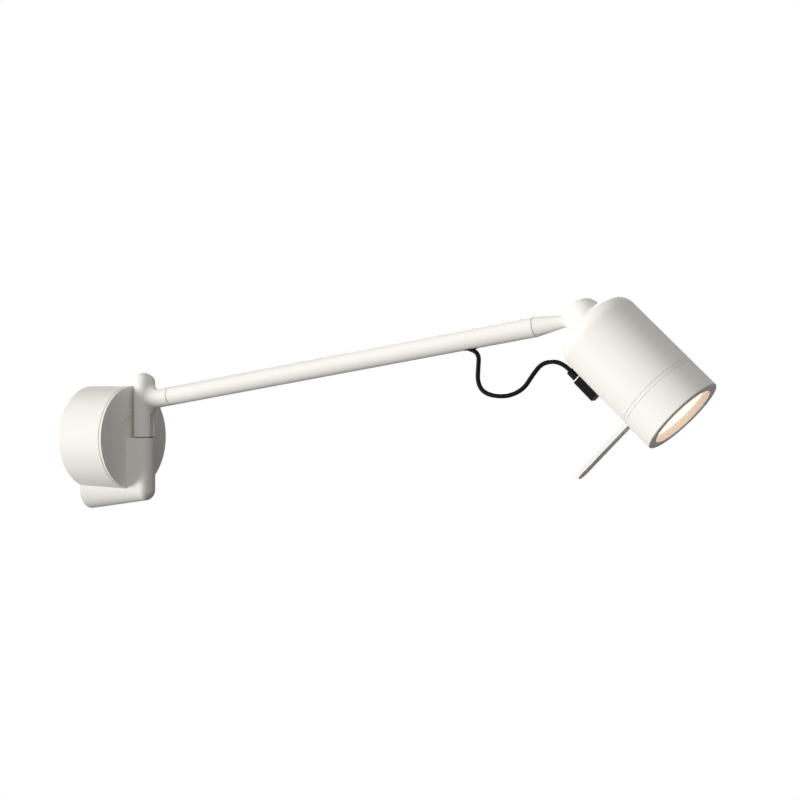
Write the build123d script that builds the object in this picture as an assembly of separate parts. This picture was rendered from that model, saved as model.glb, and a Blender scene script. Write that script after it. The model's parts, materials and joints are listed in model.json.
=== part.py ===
from build123d import *
import os
from math import asin, cos, degrees, radians, sin, tan

os.makedirs("parts", exist_ok=True)

# Swing arm wall sconce. Millimetres, +Z up, the wall is the plane y = 0 and the lamp stands out along -Y.
# The origin is the centre of the drum's back, on the wall.

# Fits: parts that slide together, loose holes, turning parts, threads
SLIP = 0.1
HOLE_PLAY = 0.15
RUNNING_GAP = 0.05
THREAD_PLAY = 0.02

# Wall drum
DRUM_R = 50.0
DRUM_DEPTH = 51.0
DRUM_WALL = 2.0
COVER_T = 3.2
COVER_EDGE = 0.4
COVER_SEAM = 0.9
COVER_SEAM_DEPTH = 1.4
COVER_LIP = 4.0
PLATE_R = 46.5
PLATE_T = 2.5
LUG_T = 3.5
LUG_W = 10.0
LUG_TOP = 10.5
WALL_HOLE_SPACING = 60.0
WALL_HOLE_R = 2.6
CABLE_ENTRY_R = 5.0
CABLE_ENTRY_UP = 36.0
GRUB_R = 2.0
GRUB_ANGLES = (-40.0, 40.0)
GRUB_OUT = 6.0
FRAME_W = 30.0
FRAME_HALF_H = 26.0
FRAME_T = 2.5
BOSS_R = 21.5
BOSS_SCREW_CIRCLE_R = 14.0
BOSS_SCREW_R = 1.95
BOSS_SCREW_DEPTH = 2.4

# Bracket and swing pivot
POST_OUT = 63.2
POST_R = 10.2
LEG_UP = -50.5
LEG_WALL_R = 19.5
DOME_UP = 52.6
STUB_ROUND = 8.0
SLOT_HALF_W = 3.6
SLOT_TOP = 24.0
SLOT_DEPTH = 2.0
SEAM = 0.9
SHAFT_R = 5.0
SHAFT_BORE_R = 2.7
SHAFT_LOW = -43.0
SHAFT_TOP = 22.0
BUSH_R = 6.98
BUSH_LENGTH = 12.0
PIVOT_BORE_R = 7.0
PIVOT_BORE_LOW = -44.0
STOP_UP = -22.0
STOP_R = 2.5
STOP_TIP_R = 1.3
STOP_FLOOR_R = 3.8
SWING_HALF = 90.0

# Arm
ARM_UP = 35.2
ARM_RISE = 8.7
TUBE_R = 8.75
TUBE_BORE_R = 7.25
TUBE_SEAM = 0.8
TUBE_SEAM_R = 7.8
SPIGOT_R = 7.2
SPIGOT_LENGTH = 22.0
STUB_END = 31.2
TUBE_END = 409.5
NECK_R = 5.25
NECK_TAPER = 25.0
NECK_ROUND = 20.0
BALL_ROOT_ROUND = 4.0
BALL_R = 16.0
BALL_ALONG = 453.0

# Leads and the free cable
CABLE_R = 1.95
SUPPLY_OUT = 24.0
SUPPLY_UP = -56.0
SUPPLY_BEND = 9.0
EXIT_ALONG = 348.3
EXIT_SLANT = 27.0
EXIT_BEND = 25.0
GROMMET_R = 2.75
GROMMET_LENGTH = 5.0
GROMMET_PROUD = 0.4
CABLE_START = 1.0
CABLE_FIRST_RUN = 7.4
CABLE_END_RUN = 6.4

# Route of the free cable in the lamp's upright plane: distance from the wall, height
CABLE_ROUTE = [
    (415.9, 62.8),
    (415.3, 52.8),
    (418.9, 44.4),
    (428.0, 39.9),
    (443.5, 39.2),
    (457.4, 45.2),
    (465.6, 57.2),
    (473.4, 66.4),
    (484.3, 68.6),
]

# Head, measured along its axis from the centre of the ball
HEAD_PITCH = 44.5
HEAD_R = 36.0
HEAD_REAR = 5.0
HEAD_RIM = 115.3
HEAD_REAR_ROUND = 15.0
HEAD_BORE_R = 31.5
HEAD_FLOOR = 24.5
HEAD_FLOOR_ROUND = 2.0
DISH_R = 17.25
DISH_MOUTH_ROUND = 0.6
LINER_IN_R = 16.08
LINER_OUT_R = 17.0
LINER_FROM = 22.0
LINER_TO = 48.0
MAGNET_R = 9.9
MAGNET_BACK = 18.6
SPREADER_BACK = 58.0
BOARD_BACK = 66.0
BOARD_FRONT = 67.6
LEAD_UP = 42.0
LEAD_IN = 11.0
LEAD_R = 1.2
RING_BACK = 85.8
RING_FRONT = 88.9
RING_GAP = 0.15
SPIGOT_HEAD_R = 33.3
RING_RUNNING_GAP = 0.08
SPIGOT_HEAD_END = 102.4
LENS_FRONT = 108.7
LENS_T = 3.1
LIP_R = 28.6
RIM_ROUND = 1.2
LIP_ROUND = 0.5
CAP_SCREW_R = 1.5
CAP_SCREW_AHEAD = 7.0
CAP_SCREW_ANGLES = (-35.0, 35.0)
LEVER_TIP = 97.5
LEVER_W = 13.5
LEVER_T = 3.5

# Connector on the head's underside
SOCKET_FROM = 32.0
SOCKET_TO = 53.0
SOCKET_W = 10.5
SOCKET_HEIGHT = 7.8
SOCKET_EDGE = 2.2
COLLAR_T = 1.0
COLLAR_INSET = 0.4
PLUG_REAR = 21.6
PLUG_AXIS = 39.5
PLUG_W = 8.0
PLUG_HALF_H = 3.3

BOTTOM = (Align.CENTER, Align.CENTER, Align.MIN)


def place(origin, along):
    """Frame whose Z runs along a direction in the plane x = 0 and whose X is the part's own X."""
    return Plane(origin=origin, x_dir=(1, 0, 0), z_dir=along).location


def turned(outline, rounds=()):
    """Solid of revolution about Z. Rounds are pairs of an outline corner and its radius."""
    profile = make_face(Polyline(*outline, close=True))
    for corner, radius in rounds:
        profile = fillet(profile.vertices().sort_by_distance((*corner, 0))[0], radius)
    return revolve(Plane.XZ * profile, Axis.Z)


def rod(radius, low, high):
    """Round bar on the Z axis between two heights."""
    return Pos(0, 0, low) * Cylinder(radius, high - low, align=BOTTOM)


def pipe(outer, inner, low, high):
    """Round tube on the Z axis between two heights."""
    return rod(outer, low, high) - rod(inner, low - 1, high + 1)


def swept(path, radius):
    """Round section carried along a path."""
    start = Plane(path @ 0, z_dir=path % 0)
    return sweep(start * Circle(radius), path)


def in_side_view(out, up):
    """Point in the lamp's own upright plane, by its distance from the wall and its height."""
    return Vector(0, -out, up)


def socket_screw(radius, low, high):
    """Grub screw on Z with a hexagon socket in its upper end."""
    key = extrude(RegularPolygon(radius * 0.55, 6), radius)
    return chamfer(rod(radius, low, high).edges(), radius * 0.12) - Pos(0, 0, high - radius) * key


on_wall = place((0, 0, 0), (0, -1, 0))
at_post = Pos(0, -POST_OUT, 0)
arm_dir = Vector(0, -cos(radians(ARM_RISE)), sin(radians(ARM_RISE)))
arm_start = in_side_view(POST_OUT, ARM_UP)
on_arm = place(arm_start, arm_dir)
ball_centre = arm_start + arm_dir * BALL_ALONG
head_dir = Vector(0, -cos(radians(HEAD_PITCH)), -sin(radians(HEAD_PITCH)))
on_head = place(ball_centre, head_dir)
cover_back = DRUM_DEPTH - COVER_T
stop_place = Pos(0, -POST_OUT, STOP_UP) * Rot(0, 90, 0)
plug_rear = (on_head * Pos(0, -PLUG_AXIS, PLUG_REAR)).position


def supply_path():
    """Route of the supply lead: driver, drum floor, leg, then up into the swing axis."""
    return FilletPolyline(
        in_side_view(SUPPLY_OUT, FRAME_T - FRAME_HALF_H),
        in_side_view(SUPPLY_OUT, SUPPLY_UP),
        in_side_view(POST_OUT, SUPPLY_UP),
        in_side_view(POST_OUT, SHAFT_LOW - SEAM),
        radius=SUPPLY_BEND,
    )


exit_turn = radians(ARM_RISE - EXIT_SLANT)
exit_dir = Vector(0, -cos(exit_turn), sin(exit_turn))
exit_point = (on_arm * Pos(0, -TUBE_R, EXIT_ALONG)).position
exit_axis = place(exit_point, exit_dir)
cable_start = exit_point + exit_dir * CABLE_START


def arm_lead_path():
    """Route of the lead inside the arm: up the hollow shaft, along the tube and out at the slant."""
    turn_along = EXIT_ALONG - TUBE_R / tan(radians(EXIT_SLANT))
    return FilletPolyline(
        in_side_view(POST_OUT, SHAFT_LOW),
        arm_start,
        arm_start + arm_dir * turn_along,
        cable_start,
        radius=[SUPPLY_BEND, EXIT_BEND],
    )


def grub_places():
    """Frames of the drum's grub screws, Z pointing outwards through the skirt."""
    return [Pos(0, 0, GRUB_OUT) * Rot(0, 0, angle) * Rot(0, 90, 0) for angle in GRUB_ANGLES]


def boss_screw_places():
    """Frames of the three screws behind the boss, Z pointing away from the wall."""
    ring = range(90, 450, 120)
    r = BOSS_SCREW_CIRCLE_R
    return [Pos(r * cos(radians(a)), r * sin(radians(a)), cover_back - FRAME_T) for a in ring]


def wall_plate():
    plate = chamfer(rod(PLATE_R, 0, PLATE_T).edges().sort_by(Axis.Z)[-1], 0.5)
    for angle in (*GRUB_ANGLES, 180):
        lug = Pos(PLATE_R - LUG_T / 2, 0, PLATE_T) * Box(LUG_T, LUG_W, LUG_TOP - PLATE_T, align=BOTTOM)
        plate += Rot(0, 0, angle) * (lug & rod(PLATE_R, 0, LUG_TOP))
    for side in (-1, 1):
        plate -= Pos(side * WALL_HOLE_SPACING / 2, 0, -1) * rod(WALL_HOLE_R, 0, PLATE_T + 2)
    plate -= Pos(0, CABLE_ENTRY_UP, -1) * rod(CABLE_ENTRY_R, 0, PLATE_T + 2)
    for spot in grub_places():
        plate -= spot * rod(GRUB_R, PLATE_R - 2 * LUG_T, PLATE_R + 1)
    return on_wall * plate


def drum_housing():
    bore_r = DRUM_R - DRUM_WALL
    shell = pipe(DRUM_R, bore_r, 0, cover_back)
    for spot in grub_places():
        shell -= spot * rod(GRUB_R + HOLE_PLAY, bore_r - DRUM_WALL, DRUM_R + 1)
    lead_hole = Rot(90, 0, 0) * rod(SHAFT_BORE_R, bore_r - DRUM_WALL, DRUM_R + 1)
    return on_wall * (shell - Pos(0, 0, SUPPLY_OUT) * lead_hole)


def front_cover():
    lip_r = DRUM_R - DRUM_WALL - SLIP
    disc = rod(DRUM_R, cover_back + COVER_SEAM, DRUM_DEPTH)
    disc = fillet(disc.edges().sort_by(Axis.Z)[-1], COVER_EDGE)
    disc += rod(DRUM_R - COVER_SEAM_DEPTH, cover_back, cover_back + COVER_SEAM)
    disc += pipe(lip_r, lip_r - DRUM_WALL, cover_back - COVER_LIP, cover_back)
    return on_wall * (disc - rod(BOSS_R + HOLE_PLAY, 0, DRUM_DEPTH + 1))


def leg_radius(out):
    """Half width of the leg and of the web at a distance from the wall."""
    return LEG_WALL_R + (POST_R - LEG_WALL_R) * out / POST_OUT


def bracket():
    boss = on_wall * rod(BOSS_R, cover_back, DRUM_DEPTH)
    near = leg_radius(DRUM_DEPTH)
    web_plan = Polyline(
        (-near, -DRUM_DEPTH), (near, -DRUM_DEPTH), (POST_R, -POST_OUT), (-POST_R, -POST_OUT), close=True
    )
    web = Pos(0, 0, LEG_UP) * extrude(make_face(web_plan), -LEG_UP)
    post = at_post * rod(POST_R, LEG_UP, 0)
    foot = Pos(0, -POST_OUT, LEG_UP) * Sphere(POST_R)
    leg = on_wall * Pos(0, LEG_UP, 0) * Cone(LEG_WALL_R, POST_R, POST_OUT, align=BOTTOM)
    leg -= on_wall * rod(DRUM_R + SLIP, -1, DRUM_DEPTH)
    leg -= Pos(0, -POST_OUT / 2, 0) * Box(4 * DRUM_R, 2 * DRUM_R, -LEG_UP, align=(Align.CENTER,) * 3)
    casting = boss + web + post + foot + leg
    casting -= at_post * rod(PIVOT_BORE_R, PIVOT_BORE_LOW, 1)
    casting -= swept(supply_path(), SHAFT_BORE_R)
    casting -= stop_place * rod(STOP_R, 0, 2 * POST_R)
    for spot in boss_screw_places():
        casting -= on_wall * spot * rod(BOSS_SCREW_R + THREAD_PLAY, 0, FRAME_T + BOSS_SCREW_DEPTH + 0.2)
    return casting


def carrier_frame():
    inner = FRAME_HALF_H - FRAME_T
    back = PLATE_T
    front = cover_back
    strap = [
        (-FRAME_HALF_H, back), (-FRAME_HALF_H, front), (FRAME_HALF_H, front), (FRAME_HALF_H, back),
        (inner, back), (inner, front - FRAME_T), (-inner, front - FRAME_T), (-inner, back),
    ]
    section = make_face(Polyline(*strap, close=True))
    for corner, radius in ((strap[1], 4), (strap[2], 4), (strap[5], 1.5), (strap[6], 1.5)):
        section = fillet(section.vertices().sort_by_distance((*corner, 0))[0], radius)
    bent = extrude(Plane.YZ * section, FRAME_W / 2, both=True)
    for spot in boss_screw_places():
        bent -= spot * rod(BOSS_SCREW_R + 0.25, -1, FRAME_T + 1)
    bent -= Pos(0, 0, SUPPLY_OUT) * Rot(90, 0, 0) * rod(SHAFT_BORE_R, inner - 1, FRAME_HALF_H + 1)
    return on_wall * bent


def boss_screws():
    head_r = 3.4
    head_h = 2.2
    screw = rod(BOSS_SCREW_R, 0, FRAME_T + BOSS_SCREW_DEPTH) + rod(head_r, -head_h, 0)
    screw -= Pos(0, 0, -head_h) * extrude(RegularPolygon(1.7, 6), 1.3)
    return on_wall * Compound([spot * screw for spot in boss_screw_places()])


def housing_grub_screws():
    screw = socket_screw(GRUB_R - THREAD_PLAY, PLATE_R - 4.5, DRUM_R - 0.4)
    return on_wall * Compound([spot * screw for spot in grub_places()])


def led_driver():
    wide, tall, deep, back = 26.0, 38.0, 36.0, 5.0
    lid_inset, lid_t = 2.0, 1.2
    middle = Pos(0, FRAME_T - FRAME_HALF_H + tall / 2, back)
    case = middle * Box(wide, tall, deep, align=BOTTOM)
    case = fillet(case.edges().filter_by(Axis.Z), 2.0)
    lid = Box(wide - 2 * lid_inset, tall - 2 * lid_inset, lid_t, align=BOTTOM)
    return on_wall * (case + middle * Pos(0, 0, deep) * lid)


def terminal_block():
    """Three-way block above the frame: wires enter from the wall side, screws from the top."""
    wide, tall, deep, back = 22.0, 10.0, 16.0, 22.0
    pitch = 6.9
    middle = Pos(0, FRAME_HALF_H + tall / 2, back)
    block = middle * Box(wide, tall, deep, align=BOTTOM)
    block = chamfer(block.edges().filter_by(Axis.X), 0.8)
    for way in (-pitch, 0, pitch):
        block -= middle * Pos(way, 0, -1) * rod(1.7, 0, deep / 2)
        block -= middle * Pos(way, tall / 2, deep / 2) * Rot(90, 0, 0) * rod(1.9, -1, tall / 3)
    return on_wall * block


def post_bushes():
    hole_r = SHAFT_R + RUNNING_GAP
    upper = pipe(BUSH_R, hole_r, -BUSH_LENGTH, 0) + pipe(POST_R - 0.8, hole_r, 0, SEAM - RUNNING_GAP)
    lower = pipe(BUSH_R, hole_r, PIVOT_BORE_LOW, PIVOT_BORE_LOW + BUSH_LENGTH)
    return at_post * Compound([upper, lower])


def swing_stop_screw():
    body_from = SHAFT_R + 0.6
    screw = socket_screw(STOP_R - THREAD_PLAY, body_from, POST_R - 0.4)
    return stop_place * (screw + rod(STOP_TIP_R, STOP_FLOOR_R + 0.3, body_from + 0.5))


def swing_shaft():
    """Hollow shaft. Its part-round groove takes the stop screw's tip and ends the swing."""
    shaft = pipe(SHAFT_R, SHAFT_BORE_R, SHAFT_LOW, SHAFT_TOP)
    shaft = chamfer(shaft.edges().group_by(Axis.Z)[0].sort_by(SortBy.RADIUS)[-1], 0.6)
    tip_half = degrees(asin(STOP_TIP_R / STOP_FLOOR_R))
    half = SWING_HALF + tip_half + 1.0
    tall = 2 * STOP_TIP_R + 0.6
    ring = Pos((STOP_FLOOR_R + SHAFT_R + 1) / 2, STOP_UP) * Rectangle(SHAFT_R + 1 - STOP_FLOOR_R, tall)
    groove = Rot(0, 0, -half) * revolve(Plane.XZ * ring, Axis.Z, 2 * half)
    return at_post * (shaft - groove)


def arm_post():
    post = at_post * (rod(POST_R, SEAM, DOME_UP) + Pos(0, 0, DOME_UP) * Sphere(POST_R))
    stub = on_arm * rod(TUBE_R, 0, STUB_END)
    body = post + stub
    root = body.edges().filter_by(GeomType.BSPLINE) + body.edges().filter_by(GeomType.OTHER)
    body = fillet(root, STUB_ROUND)
    slot_floor = Pos(0, -POST_OUT - POST_R + SLOT_DEPTH, 0)
    slot = Box(2 * SLOT_HALF_W, POST_R, SLOT_TOP - SLOT_HALF_W, align=(Align.CENTER, Align.MAX, Align.MIN))
    slot += Pos(0, 0, SLOT_TOP - SLOT_HALF_W) * Rot(90, 0, 0) * rod(SLOT_HALF_W, 0, POST_R)
    body -= slot_floor * slot
    body += on_arm * rod(SPIGOT_R, STUB_END - 1, STUB_END + SPIGOT_LENGTH)
    body -= at_post * rod(SHAFT_R + 0.03, 0, SHAFT_TOP)
    body -= swept(arm_lead_path(), SHAFT_BORE_R)
    return body


def arm_tube():
    near = STUB_END + TUBE_SEAM
    far = TUBE_END - TUBE_SEAM
    tube = turned(
        [
            (TUBE_BORE_R, STUB_END), (TUBE_SEAM_R, STUB_END), (TUBE_SEAM_R, near), (TUBE_R, near),
            (TUBE_R, far), (TUBE_SEAM_R, far), (TUBE_SEAM_R, TUBE_END), (TUBE_BORE_R, TUBE_END),
        ]
    )
    return on_arm * tube - exit_axis * rod(GROMMET_R + RUNNING_GAP, -2 * TUBE_BORE_R, TUBE_R)


def ball_neck():
    taper_end = TUBE_END + NECK_TAPER
    core = turned(
        [
            (0, TUBE_END - SPIGOT_LENGTH), (SPIGOT_R, TUBE_END - SPIGOT_LENGTH), (SPIGOT_R, TUBE_END),
            (TUBE_R, TUBE_END), (NECK_R, taper_end), (NECK_R, BALL_ALONG), (0, BALL_ALONG),
        ],
        rounds=[((NECK_R, taper_end), NECK_ROUND)],
    )
    body = core + Pos(0, 0, BALL_ALONG) * Sphere(BALL_R)
    join_up = BALL_ALONG - (BALL_R**2 - NECK_R**2) ** 0.5
    root = body.edges().filter_by(GeomType.CIRCLE).sort_by_distance((0, -NECK_R, join_up))[0]
    return on_arm * fillet(root, BALL_ROOT_ROUND)


def cable_grommet():
    """Slanted bush in the tube's wall, cut to follow the tube's round."""
    bush = exit_axis * pipe(GROMMET_R, CABLE_R + RUNNING_GAP, -GROMMET_LENGTH, TUBE_R)
    return bush & on_arm * rod(TUBE_R + GROMMET_PROUD, 0, TUBE_END)


def head_cable():
    """Free cable: straight runs with arcs as large as the runs allow, from the grommet to the plug."""
    points = [cable_start, cable_start + exit_dir * CABLE_FIRST_RUN]
    points += [in_side_view(*p) for p in CABLE_ROUTE]
    points += [plug_rear - head_dir * CABLE_END_RUN, plug_rear]
    runs = [b - a for a, b in zip(points, points[1:])]
    radii = []
    for before, after in zip(runs, runs[1:]):
        turn = radians(before.get_angle(after))
        radii.append(0.45 * min(before.length, after.length) / tan(turn / 2))
    path = FilletPolyline(*points, radius=radii)
    print("cable length", round(path.length, 1), "tightest bend", round(min(radii), 1))
    return swept(path, CABLE_R)


def seat_liner():
    """Thin ring of a sphere between the ball and the dish."""
    ring = []
    for radius in (LINER_IN_R, LINER_OUT_R):
        ends = [(radius * sin(radians(a)), radius * cos(radians(a))) for a in (LINER_FROM, LINER_TO)]
        ring.append((ends, RadiusArc(ends[0], ends[1], radius)))
    (inner, inner_arc), (outer, outer_arc) = ring
    section = make_face([inner_arc, outer_arc, Line(inner[0], outer[0]), Line(inner[1], outer[1])])
    return on_head * revolve(Plane.XZ * section, Axis.Z)


def head_housing():
    shell = turned(
        [
            (0, HEAD_REAR), (HEAD_R, HEAD_REAR), (HEAD_R, RING_BACK), (SPIGOT_HEAD_R, RING_BACK),
            (SPIGOT_HEAD_R, SPIGOT_HEAD_END), (HEAD_BORE_R, SPIGOT_HEAD_END), (HEAD_BORE_R, HEAD_FLOOR),
            (0, HEAD_FLOOR),
        ],
        rounds=[((HEAD_R, HEAD_REAR), HEAD_REAR_ROUND), ((HEAD_BORE_R, HEAD_FLOOR), HEAD_FLOOR_ROUND)],
    )
    shell = shell - Sphere(DISH_R)
    mouth = shell.edges().filter_by(GeomType.CIRCLE).sort_by_distance((DISH_R, 0, HEAD_REAR))[0]
    shell = fillet(mouth, DISH_MOUTH_ROUND)
    shell -= rod(MAGNET_R + SLIP, MAGNET_BACK - RUNNING_GAP, HEAD_FLOOR + 1)
    shell -= Pos(0, 0, LEAD_UP) * Rot(90, 0, 0) * rod(LEAD_R + 1.0, HEAD_BORE_R - 3, HEAD_R + 1)
    return on_head * shell


def seat_magnet():
    disc = rod(MAGNET_R, MAGNET_BACK, HEAD_FLOOR - SLIP)
    return on_head * chamfer(disc.edges(), 0.4)


def heat_spreader():
    core_r, fin_t, fins = 7.5, 2.0, 8
    fin_to = HEAD_BORE_R - 2.5
    body = rod(HEAD_BORE_R - RUNNING_GAP, SPREADER_BACK, BOARD_BACK)
    body += rod(core_r, HEAD_FLOOR, SPREADER_BACK)
    for n in range(fins):
        fin = Pos(fin_to / 2, 0, HEAD_FLOOR) * Box(fin_to, fin_t, SPREADER_BACK - HEAD_FLOOR, align=BOTTOM)
        body += Rot(0, 0, (n + 0.5) * 360 / fins) * fin
    body -= Pos(0, -LEAD_IN, SPREADER_BACK - 1) * rod(LEAD_R + 0.6, 0, BOARD_BACK - SPREADER_BACK + 2)
    return on_head * body


def head_lead():
    path = FilletPolyline(
        (0, -HEAD_R, LEAD_UP), (0, -LEAD_IN, LEAD_UP), (0, -LEAD_IN, BOARD_BACK), radius=8.0
    )
    return on_head * swept(path, LEAD_R)


def led_board():
    board = rod(14.0, BOARD_BACK, BOARD_FRONT)
    for side in (-1, 1):
        board -= Pos(side * 11.5, 0, BOARD_BACK - 1) * rod(1.2, 0, 4)
    return on_head * board


def led_emitter():
    dome = rod(8.5, BOARD_FRONT, BOARD_FRONT + 1.0)
    return on_head * fillet(dome.edges().sort_by(Axis.Z)[-1], 0.6)


def reflector():
    throat_r, mouth_r, skin = 9.4, 28.6, 1.2
    bulge_r, bulge_up = 21.8, 81.2
    low = BOARD_FRONT + SLIP
    high = SPIGOT_HEAD_END + SLIP
    flange_r = SPIGOT_HEAD_R - SLIP
    top = LENS_FRONT - LENS_T - SLIP
    inner = ThreePointArc((throat_r, low), (bulge_r, bulge_up), (mouth_r, high))
    outer = ThreePointArc((throat_r + skin, low), (bulge_r + skin, bulge_up), (mouth_r + skin, high))
    edge = Polyline(
        (mouth_r + skin, high), (flange_r, high), (flange_r, top), (mouth_r, top), (mouth_r, high)
    )
    section = make_face([inner, outer, edge, Line((throat_r, low), (throat_r + skin, low))])
    return on_head * revolve(Plane.XZ * section, Axis.Z)


def lens():
    disc = rod(SPIGOT_HEAD_R - SLIP, LENS_FRONT - LENS_T, LENS_FRONT)
    return on_head * chamfer(disc.edges(), 0.3)


def front_cap():
    bore = SPIGOT_HEAD_R + SLIP
    shelf = LENS_FRONT + SLIP
    cap = turned(
        [
            (bore, RING_FRONT), (HEAD_R, RING_FRONT), (HEAD_R, HEAD_RIM), (LIP_R, HEAD_RIM),
            (LIP_R, shelf), (bore, shelf),
        ],
        rounds=[((HEAD_R, HEAD_RIM), RIM_ROUND), ((LIP_R, HEAD_RIM), LIP_ROUND)],
    )
    for spot in cap_screw_places():
        cap -= spot * rod(CAP_SCREW_R, bore - 1, HEAD_R + 1)
    return on_head * cap


def cap_screw_places():
    """Frames of the cap's two grub screws, Z pointing outwards."""
    up = RING_FRONT + CAP_SCREW_AHEAD
    return [Pos(0, 0, up) * Rot(0, 0, angle) * Rot(0, 90, 0) for angle in CAP_SCREW_ANGLES]


def cap_grub_screws():
    screw = socket_screw(CAP_SCREW_R - THREAD_PLAY, SPIGOT_HEAD_R + THREAD_PLAY, HEAD_R - 0.2)
    return on_head * Compound([spot * screw for spot in cap_screw_places()])


def lever_ring():
    """Flat ring between housing and cap, with a long lever that stands a little in front of the ring."""
    low = RING_BACK + RING_GAP
    high = RING_FRONT - RING_GAP
    bore_r = SPIGOT_HEAD_R + RING_RUNNING_GAP
    tip = LEVER_TIP - LEVER_W / 2
    blade = Pos(0, -tip / 2) * Rectangle(LEVER_W, tip) + Pos(0, -tip) * Circle(LEVER_W / 2)
    lever = Pos(0, 0, low) * extrude(blade - Circle(bore_r), LEVER_T)
    lever -= rod(HEAD_R + RING_GAP, high, low + 2 * LEVER_T)
    return on_head * (pipe(HEAD_R, bore_r, low, high) + lever)


def block_on_head(wide, top, bottom, low, high, edge):
    """Rounded block on the head's underside, between two distances from the head's axis."""
    tall = bottom - top
    block = Pos(0, -top - tall / 2, low) * Box(wide, tall, high - low, align=BOTTOM)
    return fillet(block.edges().filter_by(Axis.Z), edge)


def socket_block():
    bottom = HEAD_R + SOCKET_HEIGHT
    block = block_on_head(SOCKET_W, HEAD_BORE_R, bottom, SOCKET_FROM, SOCKET_TO, SOCKET_EDGE)
    block = chamfer(block.edges().group_by(Axis.Z)[-1], 0.4)
    return on_head * (block - rod(HEAD_R + RUNNING_GAP, 0, HEAD_RIM))


def socket_collar():
    bottom = HEAD_R + SOCKET_HEIGHT - COLLAR_INSET
    wide = SOCKET_W - 2 * COLLAR_INSET
    ring = block_on_head(wide, HEAD_BORE_R, bottom, SOCKET_FROM - COLLAR_T, SOCKET_FROM, SOCKET_EDGE)
    return on_head * (ring - rod(HEAD_R + RUNNING_GAP, 0, HEAD_RIM))


def cable_plug():
    top = PLUG_AXIS - PLUG_HALF_H
    bottom = PLUG_AXIS + PLUG_HALF_H
    plug = block_on_head(PLUG_W, top, bottom, PLUG_REAR, SOCKET_FROM - COLLAR_T, SOCKET_EDGE)
    plug = fillet(plug.edges().group_by(Axis.Z)[0], 1.0)
    return on_head * plug


PIECES = [
    wall_plate, carrier_frame, drum_housing, front_cover, bracket, boss_screws, housing_grub_screws,
    led_driver, terminal_block, post_bushes, swing_stop_screw, swing_shaft, arm_post, arm_tube,
    ball_neck, cable_grommet, head_cable, seat_liner, head_housing, seat_magnet, heat_spreader,
    head_lead, led_board, led_emitter, reflector, lens, front_cap, cap_grub_screws, lever_ring,
    socket_block, socket_collar, cable_plug,
]
for piece in PIECES:
    export_step(piece(), "parts/" + piece.__name__ + ".step")

export_step(swept(supply_path(), CABLE_R), "parts/supply_lead.step")
export_step(swept(arm_lead_path(), CABLE_R), "parts/arm_lead.step")
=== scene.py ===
# %% [markdown]
# Swing arm wall sconce
#
# This lesson dresses a white wall lamp: a round drum on the wall, a bracket with an upright pivot, a
# long rising tube and a round spot that turns on a ball, with a short black cable under it.
# The lamp's exact parts come in as a fixed frame, and nothing of theirs is moved here. The lesson gives
# each part its finish, and models anew the cable and the turned shells, whose soft edges and shadow
# gaps make the lamp look real.

# %% Load the frame
import json
from math import asin, cos, degrees, radians, sin, sqrt

import bpy
from mathutils import Matrix, Vector


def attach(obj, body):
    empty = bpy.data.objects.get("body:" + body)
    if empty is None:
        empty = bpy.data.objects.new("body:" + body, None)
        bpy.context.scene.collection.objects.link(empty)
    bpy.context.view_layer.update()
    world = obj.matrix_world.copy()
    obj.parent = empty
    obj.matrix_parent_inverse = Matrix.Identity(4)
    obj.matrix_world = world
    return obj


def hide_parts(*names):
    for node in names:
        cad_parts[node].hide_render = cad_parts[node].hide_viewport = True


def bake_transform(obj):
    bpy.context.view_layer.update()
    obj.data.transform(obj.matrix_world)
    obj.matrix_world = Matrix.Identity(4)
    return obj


MM = 0.001

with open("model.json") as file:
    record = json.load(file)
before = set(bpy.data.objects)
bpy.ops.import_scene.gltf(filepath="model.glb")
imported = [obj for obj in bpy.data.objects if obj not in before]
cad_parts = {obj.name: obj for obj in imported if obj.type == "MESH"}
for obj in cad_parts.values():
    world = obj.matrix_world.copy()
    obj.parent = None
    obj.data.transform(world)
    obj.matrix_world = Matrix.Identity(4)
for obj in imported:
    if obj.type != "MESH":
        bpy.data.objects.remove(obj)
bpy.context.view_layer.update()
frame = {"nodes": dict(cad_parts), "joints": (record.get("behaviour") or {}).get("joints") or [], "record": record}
scene = bpy.context.scene
joints = {joint["name"]: joint for joint in frame["joints"]}

# %% [markdown]
# Camera
#
# The picture was taken from the lamp's left, level with its middle, with a short telephoto lens. A
# level camera keeps uprights upright, so only its place, its heading and its lens have to be found.
# They follow from the drum, whose front and back outlines give the heading and the distance.

# %% Camera
CAMERA_PLACE = Vector((-1.0823, -0.9067, 0.0363))
CAMERA_LOOK = Vector((0.886, 0.463, 0.0))
CAMERA_LENS = 63.0
CAMERA_NEAREST = 0.05

bpy.ops.object.camera_add(location=CAMERA_PLACE)
camera = bpy.context.object
camera.rotation_euler = CAMERA_LOOK.to_track_quat("-Z", "Y").to_euler()
camera.data.lens = CAMERA_LENS
camera.data.clip_start = CAMERA_NEAREST
scene.camera = camera
scene.view_settings.view_transform = "Standard"
print("camera at", [round(x, 3) for x in camera.location], "lens", camera.data.lens)

# %% [markdown]
# Light
#
# The lamp is white on white, so its form shows only through shade. One large soft light stands about
# level with the lamp, at its left and behind it: it brightens every left side, leaves the drum's face
# dark, and lets the drum throw its shadow on the post. It is far away, so that drum and spot get about
# as much of it. A weaker one from above rounds the upper sides. The third stands opposite the camera,
# where it reaches only the sides that the picture hides, so that the lamp is white all round.

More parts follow.
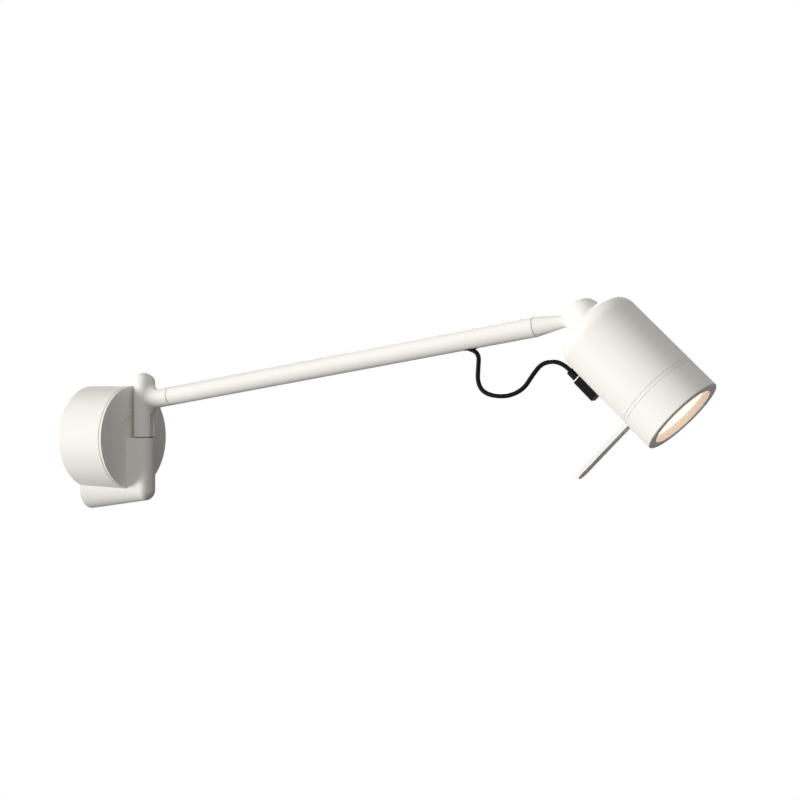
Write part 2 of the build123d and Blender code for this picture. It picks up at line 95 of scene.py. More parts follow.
# %% Light
STAGE_MIDDLE = Vector((0.0, -0.3, 0.05))
LIGHTS = {
    "key_light": {"from": Vector((-0.7, 0.71, -0.06)), "far": 20.0, "size": 8.0, "watts": 4150.0},
    "top_light": {"from": Vector((-0.2, -0.15, 1.0)), "far": 2.4, "size": 2.0, "watts": 15.0},
    "back_light": {"from": Vector((0.84, 0.44, 0.35)), "far": 20.0, "size": 5.0, "watts": 2400.0},
}


def soft_light(name, setting):
    """A square soft light that looks at the middle of the lamp."""
    aim = setting["from"].normalized()
    bpy.ops.object.light_add(type="AREA", location=STAGE_MIDDLE + aim * setting["far"])
    light = bpy.context.object
    light.name = name
    light.rotation_euler = (-aim).to_track_quat("-Z", "Y").to_euler()
    light.data.size = setting["size"]
    light.data.energy = setting["watts"]


for name, setting in LIGHTS.items():
    soft_light(name, setting)
print("lights", list(LIGHTS))

# %% [markdown]
# A dim room
#
# No studio is black all round its lights. The room could be a picture of one. Here it is a plain slope
# of brightness, worked out from the direction alone: brightest on the camera's side, though still dim,
# and black on the far side.

# %% A dim room
ROOM_BRIGHT_SIDE = Vector((-0.92, -0.3, 0.25))
ROOM_LEVEL = 0.03
ROOM_SLOPE = 0.5
WHITE = (1, 1, 1, 1)


def add_math(nodes, links, operation, source, value):
    """A math node on another node's output and a fixed number, as its output."""
    step = nodes.new("ShaderNodeMath")
    step.operation = operation
    step.inputs[1].default_value = value
    links.new(source, step.inputs[0])
    return step.outputs[0]


world = bpy.data.worlds.new("studio")
scene.world = world
world.use_nodes = True
nodes, links = world.node_tree.nodes, world.node_tree.links
nodes.clear()
heading = nodes.new("ShaderNodeTexCoord")
slope = nodes.new("ShaderNodeVectorMath")
slope.operation = "DOT_PRODUCT"
slope.inputs[1].default_value = ROOM_BRIGHT_SIDE.normalized() * ROOM_SLOPE
links.new(heading.outputs["Generated"], slope.inputs[0])
level = add_math(nodes, links, "ADD", slope.outputs["Value"], ROOM_LEVEL)
around = nodes.new("ShaderNodeBackground")
around.inputs["Color"].default_value = WHITE
links.new(add_math(nodes, links, "MAXIMUM", level, 0.0), around.inputs["Strength"])
print("room", ROOM_LEVEL, "slope", ROOM_SLOPE)

# %% [markdown]
# A white background
#
# The picture's background is plain white. A room lit that brightly would wash out the shade on the
# paint, so the background is white to the camera and in reflections alone, and adds no light.

# %% A white background
WHITE_RAYS = ("Is Glossy Ray", "Is Transmission Ray")


def seen_directly(nodes, links):
    """1 for rays from the camera, from mirrors and through glass, 0 for rays that carry light."""
    path = nodes.new("ShaderNodeLightPath")
    total = path.outputs["Is Camera Ray"]
    for kind in WHITE_RAYS:
        either = nodes.new("ShaderNodeMath")
        either.operation = "MAXIMUM"
        links.new(total, either.inputs[0])
        links.new(path.outputs[kind], either.inputs[1])
        total = either.outputs[0]
    return total


behind = nodes.new("ShaderNodeBackground")
behind.inputs["Color"].default_value = WHITE
choice = nodes.new("ShaderNodeMixShader")
links.new(seen_directly(nodes, links), choice.inputs["Fac"])
links.new(around.outputs[0], choice.inputs[1])
links.new(behind.outputs[0], choice.inputs[2])
links.new(choice.outputs[0], nodes.new("ShaderNodeOutputWorld").inputs["Surface"])
print("kinds of rays that see white", 1 + len(WHITE_RAYS))

# %% [markdown]
# Floor
#
# The lamp hangs on a wall, so no floor shows in the picture. One lies far below it all the same, so that
# other views have something to stand on. Its paint is dark and sends hardly any light up, but to the
# camera it glows nearly as white as the background.

# %% Floor
FLOOR_LEVEL = -0.6
FLOOR_R = 0.9
FLOOR_POINTS = 96
FLOOR_GREY = (0.06, 0.06, 0.06, 1)
FLOOR_ROUGHNESS = 0.9
FLOOR_GLOW = 0.93
SHADER = "Principled BSDF"

bpy.ops.mesh.primitive_circle_add(
    vertices=FLOOR_POINTS, radius=FLOOR_R, fill_type="NGON", location=(0, STAGE_MIDDLE.y, FLOOR_LEVEL)
)
floor = bpy.context.object
floor.name = "floor"
floor_paint = bpy.data.materials.new("floor_paint")
floor_paint.use_nodes = True
nodes, links = floor_paint.node_tree.nodes, floor_paint.node_tree.links
paint = nodes[SHADER]
paint.inputs["Base Color"].default_value = FLOOR_GREY
paint.inputs["Roughness"].default_value = FLOOR_ROUGHNESS
paint.inputs["Emission Color"].default_value = WHITE
glow = add_math(nodes, links, "MULTIPLY", seen_directly(nodes, links), FLOOR_GLOW)
links.new(glow, paint.inputs["Emission Strength"])
floor.data.materials.append(floor_paint)
print("floor at", FLOOR_LEVEL)

# %% [markdown]
# Plain looks
#
# Most of the lamp wears one satin paint, and its inner parts are steel, plastic and bare metal. Each
# finish could be a picture, but an even surface needs none. It starts as a plain look, which is a
# colour, a roughness, metal or not, and a gloss, in that order.

# %% Plain looks
LOOKS = {
    "white_paint": ((0.87, 0.845, 0.795), 0.5, 0, 0.06),
    "zinc_steel": ((0.58, 0.59, 0.6), 0.35, 1, 0.5),
    "grey_plastic": ((0.45, 0.46, 0.47), 0.55, 0, 0.4),
    "black_plastic": ((0.004, 0.004, 0.004), 0.5, 0, 0.06),
    "bush_polymer": ((0.03, 0.03, 0.028), 0.6, 0, 0.2),
    "cable_sheath": ((0.003, 0.003, 0.003), 0.4, 0, 0.07),
    "screw_steel": ((0.42, 0.42, 0.43), 0.35, 1, 0.5),
    "bright_steel": ((0.62, 0.62, 0.63), 0.2, 1, 0.5),
    "nickel_magnet": ((0.66, 0.65, 0.62), 0.25, 1, 0.5),
    "bare_aluminium": ((0.42, 0.42, 0.42), 0.4, 1, 0.5),
    "board_white": ((0.85, 0.85, 0.83), 0.4, 0, 0.4),
    "phosphor": ((0.9, 0.7, 0.2), 0.4, 0, 0.4),
    "reflector_bright": ((0.9, 0.89, 0.86), 0.15, 1, 0.5),
    "opal_lens": ((0.95, 0.93, 0.88), 0.35, 0, 0.3),
}


def plain_finish(name, color, roughness, metallic, specular):
    """A new material of one colour."""
    material = bpy.data.materials.new(name)
    material.use_nodes = True
    shader = material.node_tree.nodes[SHADER]
    shader.inputs["Base Color"].default_value = (*color, 1)
    shader.inputs["Roughness"].default_value = roughness
    shader.inputs["Metallic"].default_value = metallic
    shader.inputs["Specular IOR Level"].default_value = specular
    return material


finishes = {slot: plain_finish(slot, *look) for slot, look in LOOKS.items()}
print("finishes", len(finishes))

# %% [markdown]
# Tone
#
# No real surface has quite one colour, so each finish lets its colour drift a little over patches. A
# painted picture would have to be unwrapped, but noise follows the object's own coordinates. Zinc plate
# shows crystals, for which cell noise is better than cloudy noise. A tone is the share by which the
# colour drifts, and the size of the patches.

# %% Tone
CELLS = "ShaderNodeTexVoronoi"
TONES = {
    "white_paint": (0.01, 50),
    "zinc_steel": (0.16, 5, CELLS),
    "grey_plastic": (0.03, 20),
    "black_plastic": (0.1, 8),
    "bush_polymer": (0.08, 6),
    "cable_sheath": (0.1, 10),
    "screw_steel": (0.1, 4),
    "bright_steel": (0.05, 4),
    "nickel_magnet": (0.05, 5),
    "bare_aluminium": (0.06, 3),
    "board_white": (0.02, 10),
    "phosphor": (0.05, 2),
    "reflector_bright": (0.02, 10),
    "opal_lens": (0.01, 20),
}


def add_tone(material, spread, size, kind="ShaderNodeTexNoise"):
    """Lets the colour drift by a share of itself, over patches of a size in millimetres."""
    nodes, links = material.node_tree.nodes, material.node_tree.links
    base = nodes[SHADER].inputs["Base Color"]
    color = base.default_value[:3]
    place = nodes.new("ShaderNodeTexCoord")
    patches = nodes.new(kind)
    patches.inputs["Scale"].default_value = 1 / (size * MM)
    ramp = nodes.new("ShaderNodeValToRGB")
    ramp.color_ramp.elements[0].color = (*[c * (1 - spread) for c in color], 1)
    ramp.color_ramp.elements[1].color = (*[min(1, c * (1 + spread)) for c in color], 1)
    links.new(place.outputs["Object"], patches.inputs["Vector"])
    links.new(patches.outputs[0], ramp.inputs["Fac"])
    links.new(ramp.outputs["Color"], base)


for slot, tone in TONES.items():
    add_tone(finishes[slot], *tone)
print("finishes with a tone", len(TONES))

# %% [markdown]
# Grain
#
# Paint, plastic, rubber and zinc plate are a little rough to the touch. Real bumps would need millions
# of faces, so a bump node only tilts the light on a smooth surface. A grain is a strength and a size.

# %% Grain
GRAIN_DEPTH = 0.2
GRAIN_DETAIL = 2
GRAINS = {
    "white_paint": (0.05, 0.8),
    "zinc_steel": (0.1, 1),
    "grey_plastic": (0.15, 0.6),
    "black_plastic": (0.1, 0.5),
    "bush_polymer": (0.1, 1),
    "cable_sheath": (0.05, 0.7),
}


def add_grain(material, strength, size):
    """Gives the surface a fine grain of a size in millimetres."""
    nodes, links = material.node_tree.nodes, material.node_tree.links
    place = nodes.new("ShaderNodeTexCoord")
    noise = nodes.new("ShaderNodeTexNoise")
    noise.inputs["Scale"].default_value = 1 / (size * MM)
    noise.inputs["Detail"].default_value = GRAIN_DETAIL
    bump = nodes.new("ShaderNodeBump")
    bump.inputs["Strength"].default_value = strength
    bump.inputs["Distance"].default_value = GRAIN_DEPTH * MM
    links.new(place.outputs["Object"], noise.inputs["Vector"])
    links.new(noise.outputs["Fac"], bump.inputs["Height"])
    links.new(bump.outputs["Normal"], nodes[SHADER].inputs["Normal"])


for slot, grain in GRAINS.items():
    add_grain(finishes[slot], *grain)
print("finishes with a grain", len(GRAINS))

# %% [markdown]
# The lit lens
#
# The lens is lit from behind. A light inside the spot could do that, but its rays would have to find
# their way through the opal disc. So the disc glows by itself, in a warm white.

# %% The lit lens
LENS_GLOW = (1.0, 0.74, 0.55)
LENS_STRENGTH = 1.2

lit = finishes["opal_lens"].node_tree.nodes[SHADER]
lit.inputs["Emission Color"].default_value = (*LENS_GLOW, 1)
lit.inputs["Emission Strength"].default_value = LENS_STRENGTH
print("lens glows with strength", LENS_STRENGTH)

# %% [markdown]
# Dressing the parts
#
# The record of the lamp says which finish each exact part has. A piece that is modelled anew gets its
# finish in the same way, and also says which body it moves with and which exact parts it stands for.

# %% Dressing the parts
for subpart in frame["record"]["subparts"]:
    node = frame["nodes"][subpart["node"]]
    node.data.materials.clear()
    node.data.materials.append(finishes[subpart["material_slot"]])


def wear(piece, slot, body, *nodes_replaced):
    """Gives a finished piece its finish and the exact parts that it stands for.

    It also rides on a body, if one is given.
    """
    piece.data.materials.clear()
    piece.data.materials.append(finishes[slot])
    if body:
        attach(piece, body)
    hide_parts(*nodes_replaced)
    size = [(max(c) - min(c)) / MM for c in zip(*[v.co for v in piece.data.vertices])]
    print(piece.name, "faces", len(piece.data.polygons), "size mm", [round(x, 1) for x in size])


# %% [markdown]
# The free cable
#
# A short limp cable leaves the underside of the tube, hangs in a loop and climbs to a plug on the spot.
# Its bends could be arcs, but a cable bends evenly, so a few points set by hand guide one smooth spline.
# The cable lies in the lamp's upright plane, so a point is just the distance from the wall and the
# Its bends could be arcs, but a cable bends evenly, so a few listed points guide one smooth spline.

# %% The cable's route
CABLE_R = 1.95 * MM
CABLE_ROUTE = [
    (409.76, 78.92),
    (416.79, 76.60),
    (415.9, 62.8),
    (415.3, 52.8),
    (418.9, 44.4),
    (428.0, 39.9),
    (443.5, 39.2),
    (457.4, 45.2),
    (465.6, 57.2),
    (473.4, 66.4),
    (484.3, 68.6),
    (494.14, 64.90),
    (498.71, 60.41),
]
SPLINE_ORDER = 3
STEPS_ALONG = 12
STEPS_ROUND = 6


def cable_curve(name, bevel):
    """The cable's route as a spline, with a round section of a radius, or with none."""
    curve = bpy.data.curves.new(name, "CURVE")
    curve.dimensions = "3D"
    curve.resolution_u = STEPS_ALONG
    curve.bevel_depth = bevel
    curve.bevel_resolution = STEPS_ROUND
    curve.use_fill_caps = True
    spline = curve.splines.new("NURBS")
    spline.points.add(len(CABLE_ROUTE) - 1)
    for point, (out, up) in zip(spline.points, CABLE_ROUTE):
        point.co = (0, -out * MM, up * MM, 1)
    spline.order_u = SPLINE_ORDER
    spline.use_endpoint_u = True
    holder = bpy.data.objects.new(name, curve)
    scene.collection.objects.link(holder)
    return holder


route = cable_curve("cable_line", 0.0)
print("route points", len(CABLE_ROUTE))

# %% [markdown]
# The cable's line
#
# Between its ends a spline passes near its guiding points and not through them, so the cable's length
# can't be taken from the route. It is measured along the spline itself, read as a row of points.

# %% The cable's line
def line_points(holder):
    """The points of the spline itself, read from a curve that has no round section."""
    line = bpy.data.meshes.new_from_object(holder)
    points = [v.co.copy() for v in line.vertices]
    bpy.data.meshes.remove(line)
    return points


def run_length(points):
    """The length of a line through points."""
    return sum((b - a).length for a, b in zip(points, points[1:]))


cable_line = line_points(route)
bpy.data.objects.remove(route)
print("cable length mm", round(run_length(cable_line) / MM, 1), "points", len(cable_line))

# %% [markdown]
# The cable's two stretches
#
# The cable could be one tube, but the ball lets the spot tilt and pan, and a bend can only lie between
# two bodies. So the cable is cut on its climb: a long stretch goes from the arm to the ball's seat, and
# a short one from the seat to the spot.

# %% The cable's two stretches
CABLE_CUT_OUT = 471.0 * MM
CABLE_MERGE = 0.01 * MM
CABLE_SHARP = 40.0


def start_clean():
    """Deselects everything, so that an operator reaches only the new piece."""
    bpy.ops.object.select_all(action="DESELECT")


def pick(piece):
    """Makes a piece the only one that operators reach."""
    start_clean()
    piece.select_set(True)
    bpy.context.view_layer.objects.active = piece


def cable_stretch(name, keep_arm_side):
    """One stretch of the cable: the whole tube, cut upright where the ball's seat takes over."""
    pick(cable_curve(name, CABLE_R))
    bpy.ops.object.convert(target="MESH")
    piece = bpy.context.object
    bpy.ops.object.mode_set(mode="EDIT")
    bpy.ops.mesh.select_all(action="SELECT")
    bpy.ops.mesh.remove_doubles(threshold=CABLE_MERGE)
    bpy.ops.mesh.bisect(
        plane_co=(0, -CABLE_CUT_OUT, 0), plane_no=(0, -1, 0), use_fill=True,
        clear_outer=keep_arm_side, clear_inner=not keep_arm_side,
    )
    bpy.ops.mesh.select_all(action="SELECT")
    bpy.ops.mesh.normals_make_consistent(inside=False)
    bpy.ops.object.mode_set(mode="OBJECT")
    bpy.ops.object.shade_smooth_by_angle(angle=radians(CABLE_SHARP))
    return piece


cable_at_arm = cable_stretch("cable_at_arm", True)
cable_at_head = cable_stretch("cable_at_head", False)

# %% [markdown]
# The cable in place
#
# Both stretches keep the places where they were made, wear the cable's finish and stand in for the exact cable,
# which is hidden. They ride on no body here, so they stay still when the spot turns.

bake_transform(cable_at_arm)
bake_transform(cable_at_head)
wear(cable_at_arm, "cable_sheath", None, "head_cable")
wear(cable_at_head, "cable_sheath", None, "head_cable")

# %% [markdown]
# Turned shells
#
# Drum, tube, ball and spot are all turned about an axis. Spin could make them from half an outline.
# Here a ring of points is drawn out instead, step by step, as a potter pulls up a wall: each step is an
# extrude and a resize. The outline can then be read as a list of radius and height, in millimetres.

# %% A ring drawn out along its axis
RING_POINTS = 128
RING_MERGE = 0.001 * MM


def turn(name, outline):
    """A turned piece on the Z axis, from an outline of radius and height in millimetres."""
    start_clean()
    radius, height = outline[0]
    bpy.ops.mesh.primitive_circle_add(vertices=RING_POINTS, radius=radius * MM)
    piece = bpy.context.object
    piece.name = piece.data.name = name
    bpy.ops.object.mode_set(mode="EDIT")
    bpy.ops.mesh.select_all(action="SELECT")
    bpy.ops.transform.translate(value=(0, 0, height * MM))
    for next_radius, next_height in outline[1:]:
        rise = (0, 0, (next_height - height) * MM)
        bpy.ops.mesh.extrude_region_move(TRANSFORM_OT_translate={"value": rise})
        if next_radius == 0:
            bpy.ops.mesh.merge(type="CENTER")
        else:
            grow = next_radius / radius
            bpy.ops.transform.resize(value=(grow, grow, 1), center_override=(0, 0, next_height * MM))
        radius, height = next_radius, next_height
    bpy.ops.mesh.select_all(action="SELECT")
    bpy.ops.mesh.remove_doubles(threshold=RING_MERGE)
    bpy.ops.mesh.select_all(action="SELECT")
    bpy.ops.mesh.fill_holes(sides=0)
    bpy.ops.mesh.select_all(action="SELECT")
    bpy.ops.mesh.normals_make_consistent(inside=False)
    bpy.ops.object.mode_set(mode="OBJECT")
    return piece


print("points on a ring", RING_POINTS)

# %% [markdown]
# Edges
#
# Paint never leaves a knife edge, and a small round catches the light that shows where a piece ends. A
# Bevel modifier makes such rounds on every sharp edge. Smooth shading then bends the light over the
# rounds, and weighted normals keep the flat faces beside them flat.

# %% Soft edges and smooth shading
SOFT_FROM = 40.0
SHARP_FROM = 38.0


def soften(piece, width, segments=3):
    """Rounds every sharp edge by a width in millimetres."""
    pick(piece)
    bevel = piece.modifiers.new("soft_edges", "BEVEL")
    bevel.width = width * MM
    bevel.segments = segments
    bevel.limit_method = "ANGLE"
    bevel.angle_limit = radians(SOFT_FROM)
    bevel.use_clamp_overlap = True
    bpy.ops.object.modifier_apply(modifier=bevel.name)


def smooth(piece):
    """Smooth shading that keeps flat faces flat beside their small rounds."""
    pick(piece)
    bpy.ops.object.shade_smooth_by_angle(angle=radians(SHARP_FROM))
    weights = piece.modifiers.new("flat_faces", "WEIGHTED_NORMAL")
    weights.keep_sharp = True
    bpy.ops.object.modifier_apply(modifier=weights.name)


print("edges over", SOFT_FROM, "degrees are rounded")

# %% [markdown]
# Places on the lamp
#
# Every turned piece is made on the Z axis and then set on its own: the drum looks out of the wall, the
# arm rises from the post to the ball, and the spot looks along the axis that its lever turns about.
# The places could be typed in, but the frame's joints already hold the ball and the axes.

# %% Places on the lamp
ARM_UP = 35.2 * MM


def set_in_place(piece, spot):
    """Moves a piece from the Z axis to its own axis and writes the place into its mesh."""
    pick(piece)
    piece.matrix_world = spot
    bpy.ops.object.transform_apply(location=True, rotation=True, scale=True)


def axis_spot(origin, along):
    """Place whose Z runs along a direction in the lamp's upright plane and whose X is the lamp's own."""
    side = Vector((1, 0, 0))
    up = along.cross(side)
    return Matrix.Translation(origin) @ Matrix((side, up, along)).transposed().to_4x4()


def side_spot(ahead, angle):
    """Place on the Z axis, so many millimetres along it, that looks out to the side at an angle."""
    outwards = Matrix.Rotation(radians(angle), 4, "Z") @ Matrix.Rotation(radians(90), 4, "Y")
    return Matrix.Translation((0, 0, ahead * MM)) @ outwards


arm_start = Vector(joints["arm_swing"]["pos_m"])
arm_start.z = ARM_UP
ball_centre = Vector(joints["head_tilt"]["pos_m"])
on_wall = axis_spot(Vector((0, 0, 0)), Vector((0, -1, 0)))
on_arm = axis_spot(arm_start, (ball_centre - arm_start).normalized())
on_head = axis_spot(ball_centre, Vector(joints["lever_turn"]["axis"]))
print("ball centre mm", [round(x / MM, 1) for x in ball_centre])

# %% [markdown]
# Holes
#
# Some shells have round holes, for screws or for the cable. A boolean with a cylinder cuts them clean
# through a curved wall. It is done while a piece is still on the Z axis, because there the place of a
# hole is easy to say.

# %% Holes
DRILL_POINTS = 48


def combine(piece, tool, operation):
    """Cuts a tool out of a piece or joins it on, and takes the tool away."""
    pick(piece)
    boolean = piece.modifiers.new("combine", "BOOLEAN")
    boolean.operation = operation
    boolean.solver = "EXACT"
    boolean.object = tool
    bpy.ops.object.modifier_apply(modifier=boolean.name)
    bpy.data.objects.remove(tool)


def drill(piece, radius, spot, first, last):
    """Cuts a round hole into a piece, along the Z of a place, between two heights in millimetres."""
    start_clean()
    bpy.ops.mesh.primitive_cylinder_add(
        vertices=DRILL_POINTS, radius=radius * MM, depth=(last - first) * MM
    )
    bit = bpy.context.object
    bit.matrix_world = spot @ Matrix.Translation((0, 0, (first + last) / 2 * MM))
    combine(piece, bit, "DIFFERENCE")


print("points round a hole", DRILL_POINTS)

# %% [markdown]
# The drum's skirt
#
# The drum on the wall is a thin round skirt with a flat cover on its front. The skirt could be a
# cylinder with a Solidify modifier, but drawn out along a closed outline it has its wall at once. Two
# grub screws at its side hold it on the wall plate, so it gets their holes.

# %% The drum's skirt
DRUM_R = 50.0
DRUM_INSIDE_R = 48.0
COVER_BACK = 47.8
DRUM_SOFT = 0.2
GRUB_ANGLES = (-40, 40)
GRUB_OUT = 6.0
GRUB_HOLE_R = 2.15
GRUB_DRILL = (40, 60)

drum_skirt = turn("drum_skirt", [
    (DRUM_R, 0),
    (DRUM_R, COVER_BACK),
    (DRUM_INSIDE_R, COVER_BACK),
    (DRUM_INSIDE_R, 0),
    (DRUM_R, 0),
])
soften(drum_skirt, DRUM_SOFT)
for angle in GRUB_ANGLES:
    drill(drum_skirt, GRUB_HOLE_R, side_spot(GRUB_OUT, angle), *GRUB_DRILL)
set_in_place(drum_skirt, on_wall)
smooth(drum_skirt)
wear(drum_skirt, "white_paint", "wall_base", "drum_housing")

# %% [markdown]
# Round stretches
#
# The cover's front edge is rounded, and so are the ball, the spot's rear and its rim. The points of a
# round could be typed in one by one, but a short formula gives as many as the round needs.

# %% Round stretches
def arc(centre, radius, first, last, steps=8):
    """Points of a round stretch in an outline, by angles in degrees from the radius towards the axis."""
    turns = [radians(first + (last - first) * k / steps) for k in range(steps + 1)]
    return [(centre[0] + radius * cos(t), centre[1] + radius * sin(t)) for t in turns]


print("points on a quarter round", len(arc((0, 0), 1, 0, 90)))

# %% [markdown]
# The drum's cover
#
# On the real lamp a narrow shadow gap parts skirt and cover, and a bright line of the cover's edge lies
# in front of it. The gap could be a groove cut with a boolean, but as the cover is drawn out from an
# outline anyway, it is simply a small step at the cover's back.

# %% The drum's cover
DRUM_FRONT = 51.0
BOSS_HOLE_R = 21.8
COVER_EDGE_R = 0.4
SHADOW_GAP = 0.9
GAP_DEPTH = 1.4
LIP_OUT_R = 47.9
LIP_IN_R = 45.9
LIP_BACK = 43.8

drum_cover = turn("drum_cover", [
    (BOSS_HOLE_R, COVER_BACK),
    (BOSS_HOLE_R, DRUM_FRONT),
    *arc((DRUM_R - COVER_EDGE_R, DRUM_FRONT - COVER_EDGE_R), COVER_EDGE_R, 90, 0, steps=4),
    (DRUM_R, COVER_BACK + SHADOW_GAP),
    (DRUM_R - GAP_DEPTH, COVER_BACK + SHADOW_GAP),
    (DRUM_R - GAP_DEPTH, COVER_BACK),
    (LIP_OUT_R, COVER_BACK),
    (LIP_OUT_R, LIP_BACK),
    (LIP_IN_R, LIP_BACK),
    (LIP_IN_R, COVER_BACK),
    (BOSS_HOLE_R, COVER_BACK),
])
soften(drum_cover, DRUM_SOFT)
set_in_place(drum_cover, on_wall)
smooth(drum_cover)
wear(drum_cover, "white_paint", "wall_base", "front_cover")

# %% [markdown]
# The tube
#
# The arm is a plain round tube, parted by fine shadow gaps from the pieces at its two ends. A cylinder
# would do for the tube, but the gaps need its outline: they are two short stretches with a smaller
# radius. A slanted hole in the underside lets the cable out.

# %% The tube
TUBE_R = 8.75
TUBE_INSIDE_R = 7.25
STUB_END = 31.2
TUBE_END = 409.5
TUBE_GAP = 0.8
STUB_GAP = 1.2
TUBE_GAP_R = 7.35
TUBE_SOFT = 0.12
CABLE_HOLE_R = 2.8
EXIT_ALONG = 348.3
EXIT_SLANT = 27.0
EXIT_DRILL = (-14, 9)

arm_tube = turn("arm_tube_shell", [
    (TUBE_GAP_R, STUB_END),
    (TUBE_GAP_R, STUB_END + STUB_GAP),
    (TUBE_R, STUB_END + STUB_GAP),
    (TUBE_R, TUBE_END - TUBE_GAP),
    (TUBE_GAP_R, TUBE_END - TUBE_GAP),
    (TUBE_GAP_R, TUBE_END),
    (TUBE_INSIDE_R, TUBE_END),
    (TUBE_INSIDE_R, STUB_END),
    (TUBE_GAP_R, STUB_END),
])
soften(arm_tube, TUBE_SOFT, segments=2)
exit_slant = Matrix.Rotation(radians(EXIT_SLANT), 4, "X")
exit_spot = Matrix.Translation((0, -TUBE_R * MM, EXIT_ALONG * MM)) @ exit_slant
drill(arm_tube, CABLE_HOLE_R, exit_spot, *EXIT_DRILL)
set_in_place(arm_tube, on_arm)
smooth(arm_tube)
wear(arm_tube, "white_paint", "arm", "arm_tube")

# %% [markdown]
# Neck and ball
#
# The tube's outer end carries a turned piece: a cone that draws in to a neck and swells again into the
# ball. A ball that is only stuck on a cone would leave a crease, so a round leads from one to the other.
# Its centre is worked out from the two radii that it has to touch.

# %% Neck and ball
NECK_R = 5.25
NECK_GAP = 0.4
SPIGOT_R = 7.2
SPIGOT_LENGTH = 22.0
BALL_R = 16.0
BALL_ROOT_R = 4.0
BALL_LAST_ANGLE = 87
BALL_STEPS = 40
ball_along = (ball_centre - arm_start).length / MM
root_out = NECK_R + BALL_ROOT_R
root_reach = BALL_R + BALL_ROOT_R
root_centre = (root_out, ball_along - sqrt(root_reach**2 - root_out**2))
root_turn = degrees(asin(root_out / root_reach))

ball_neck = turn("ball_and_neck", [
    (SPIGOT_R, TUBE_END - SPIGOT_LENGTH),
    (SPIGOT_R, TUBE_END + NECK_GAP),
    (TUBE_R, TUBE_END + NECK_GAP),
    *arc(root_centre, BALL_ROOT_R, 180, 90 + root_turn),
    *arc((0, ball_along), BALL_R, root_turn - 90, BALL_LAST_ANGLE, BALL_STEPS)[1:],
    (0, ball_along + BALL_R),
])
set_in_place(ball_neck, on_arm)
smooth(ball_neck)
wear(ball_neck, "white_paint", "arm", "ball_neck")

# %% [markdown]
# The spot's can
#
# The spot is a can with a generously rounded rear edge and a dish for the ball. A cylinder, a bevel and
# a boolean could make it, but one outline holds it all: the can is drawn out in one go, from its inner
# floor over the outside to the bottom of the dish.

# %% The spot's can
HEAD_R = 36.0
HEAD_REAR = 5.0
REAR_ROUND_R = 15.0
HEAD_BORE_R = 31.5
HEAD_FLOOR = 24.5
HEAD_SOFT = 0.25
SPIGOT_HEAD_R = 33.3
SPIGOT_HEAD_END = 102.4
RING_BACK = 85.8
DISH_R = 17.25
MOUTH_R = 17.0
MOUTH_ANGLE = 3
DISH_LAST_ANGLE = 85
ROUND_STEPS = 16
dish_from = degrees(asin(HEAD_REAR / DISH_R)) + MOUTH_ANGLE

lamp_head = turn("lamp_head", [
    (HEAD_BORE_R, HEAD_FLOOR),
    (HEAD_BORE_R, SPIGOT_HEAD_END),
    (SPIGOT_HEAD_R, SPIGOT_HEAD_END),
    (SPIGOT_HEAD_R, RING_BACK),
    (HEAD_R, RING_BACK),
    *arc((HEAD_R - REAR_ROUND_R, HEAD_REAR + REAR_ROUND_R), REAR_ROUND_R, 0, -90, ROUND_STEPS),
    (MOUTH_R, HEAD_REAR),
    *arc((0, 0), DISH_R, dish_from, DISH_LAST_ANGLE, ROUND_STEPS),
    (0, DISH_R),
])
soften(lamp_head, HEAD_SOFT)
set_in_place(lamp_head, on_head)
smooth(lamp_head)
wear(lamp_head, "white_paint", "head", "head_housing")

# %% [markdown]
# The spot's cap
#
# In front of the can sit a thin ring with the aiming lever, and this cap, whose rim frames the lens. A
# bevel would give all its edges one round, but the rim's outer edge is rounder than its inner one, so
# both rounds are in the outline. Two grub screws hold the cap, so it gets their holes.

# %% The spot's cap
RING_FRONT = 88.9
HEAD_RIM = 115.3
RIM_ROUND_R = 1.2
CAP_BORE_R = 33.4
CAP_SHELF = 108.8
CAP_SOFT = 0.15
RIM_IN_R = 28.6
LIP_ROUND_R = 0.5
CAP_SCREW_ANGLES = (-35, 35)
CAP_SCREW_AHEAD = 7.0
CAP_SCREW_HOLE_R = 1.5
DRILL_PAST = 2

head_cap = turn("head_cap", [
    (CAP_BORE_R, RING_FRONT),
    (HEAD_R, RING_FRONT),
    *arc((HEAD_R - RIM_ROUND_R, HEAD_RIM - RIM_ROUND_R), RIM_ROUND_R, 0, 90, steps=5),
    *arc((RIM_IN_R + LIP_ROUND_R, HEAD_RIM - LIP_ROUND_R), LIP_ROUND_R, 90, 180, steps=4),
    (RIM_IN_R, CAP_SHELF),
    (CAP_BORE_R, CAP_SHELF),
    (CAP_BORE_R, RING_FRONT),
])
soften(head_cap, CAP_SOFT, segments=2)
for angle in CAP_SCREW_ANGLES:
    spot = side_spot(RING_FRONT + CAP_SCREW_AHEAD, angle)
    drill(head_cap, CAP_SCREW_HOLE_R, spot, CAP_BORE_R - DRILL_PAST, HEAD_R + DRILL_PAST)
set_in_place(head_cap, on_head)
smooth(head_cap)
wear(head_cap, "white_paint", "head", "front_cap")

# %% [markdown]
# The lens
#
# Behind the rim lies an opal disc that glows warm white. A flat disc would do, but a moulded one has a
# slight crown and a rounded edge, which other views show.

# %% The lens
LENS_R = 33.2
LENS_BACK = 105.6
LENS_FRONT = 108.7
LENS_CROWN = 0.8
LENS_SOFT = 0.3
LENS_STEPS = 12
crown_r = (LENS_R**2 + LENS_CROWN**2) / (2 * LENS_CROWN)
crown_half = degrees(asin(LENS_R / crown_r))
crown_last = 90 - crown_half / LENS_STEPS

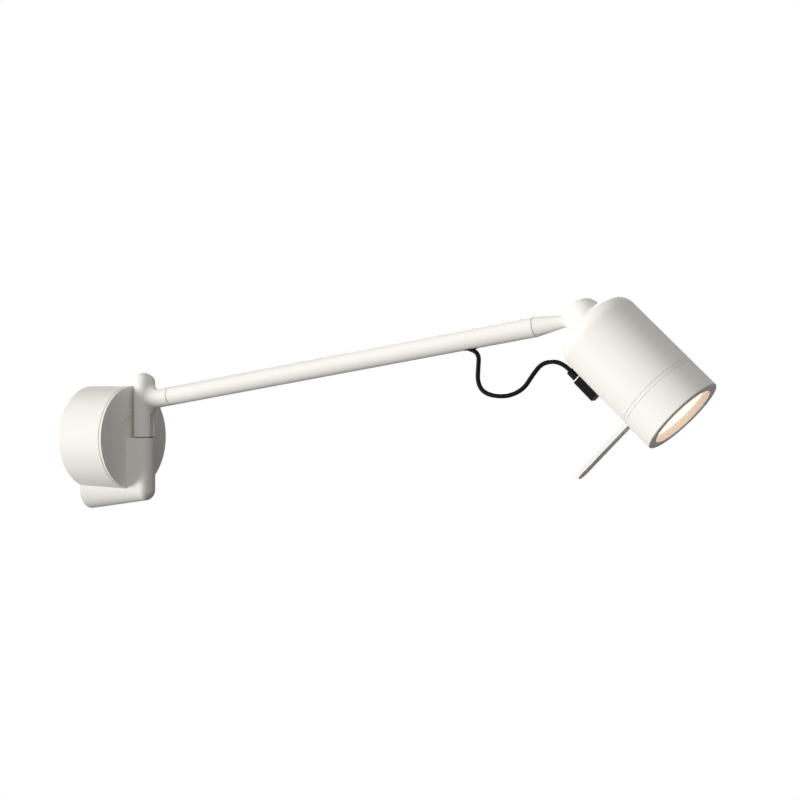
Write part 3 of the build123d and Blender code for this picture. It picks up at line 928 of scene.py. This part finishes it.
glowing_lens = turn("glowing_lens", [
    (LENS_R, LENS_BACK),
    *arc((0, LENS_FRONT - crown_r), crown_r, 90 - crown_half, crown_last, LENS_STEPS - 1),
    (0, LENS_FRONT),
])
soften(glowing_lens, LENS_SOFT)
set_in_place(glowing_lens, on_head)
smooth(glowing_lens)
wear(glowing_lens, "opal_lens", "head", "lens")

# %% [markdown]
# The lever's ring
#
# A ring between can and cap carries a long flat lever, by which the beam is turned. Ring and lever
# could be one outline, filled and drawn out, but the lever is a little thicker than the ring. So they
# are made one by one, and the ring, which is turned like the other shells, comes first.

# %% The lever's ring
RING_GAP = 0.15
RING_IN_R = 33.38
ring_low = RING_BACK + RING_GAP
ring_high = RING_FRONT - RING_GAP

aiming_lever = turn("aiming_lever", [
    (RING_IN_R, ring_low),
    (HEAD_R, ring_low),
    (HEAD_R, ring_high),
    (RING_IN_R, ring_high),
    (RING_IN_R, ring_low),
])
print("ring mm thick", round(ring_high - ring_low, 2))

# %% [markdown]
# The lever's blade
#
# The lever is a flat blade with a round tip. It starts as a block: two of its upright edges are bevelled
# until they nearly meet, which makes the tip, and its root is cut to clear the cap.

# %% The lever's blade
LEVER_W = 13.5
LEVER_T = 3.5
LEVER_TIP = 97.5
LEVER_ROOT = 34.3
TIP_FLAT = 0.04
TIP_STEPS = 14
lever_middle = Vector((0, -(LEVER_ROOT + LEVER_TIP) / 2, ring_low + LEVER_T / 2)) * MM

start_clean()
bpy.ops.mesh.primitive_cube_add(size=1, location=lever_middle)
blade = bpy.context.object
blade.scale = Vector((LEVER_W, LEVER_TIP - LEVER_ROOT, LEVER_T)) * MM
bpy.ops.object.transform_apply(location=True, rotation=True, scale=True)
bpy.ops.object.mode_set(mode="EDIT")
bpy.ops.mesh.select_mode(type="EDGE")
bpy.ops.mesh.select_all(action="DESELECT")
bpy.ops.object.mode_set(mode="OBJECT")
for edge in blade.data.edges:
    ends = [blade.data.vertices[v].co for v in edge.vertices]
    upright = abs(ends[0].z - ends[1].z) > MM
    edge.select = upright and ends[0].y < lever_middle.y
bpy.ops.object.mode_set(mode="EDIT")
bpy.ops.mesh.bevel(offset=(LEVER_W - TIP_FLAT) / 2 * MM, segments=TIP_STEPS, affect="EDGES")
bpy.ops.object.mode_set(mode="OBJECT")
drill(blade, HEAD_R + RING_GAP, Matrix.Identity(4), ring_high, ring_high + LEVER_T)
print("blade faces", len(blade.data.polygons))

# %% [markdown]
# Ring and blade joined
#
# On the real lamp ring and lever are one piece. Two meshes could just overlap, but their edges would
# stay hard where they meet. So a boolean makes them one, and the soft edges come after it.

# %% Ring and blade joined
LEVER_SOFT = 0.2

combine(aiming_lever, blade, "UNION")
soften(aiming_lever, LEVER_SOFT, segments=2)
set_in_place(aiming_lever, on_head)
smooth(aiming_lever)
wear(aiming_lever, "white_paint", "lever", "lever_ring")

# %% [markdown]
# Sizes
#
# The dressed lamp must stay as large as its exact parts.

# %% Sizes
print("lamp dressed")
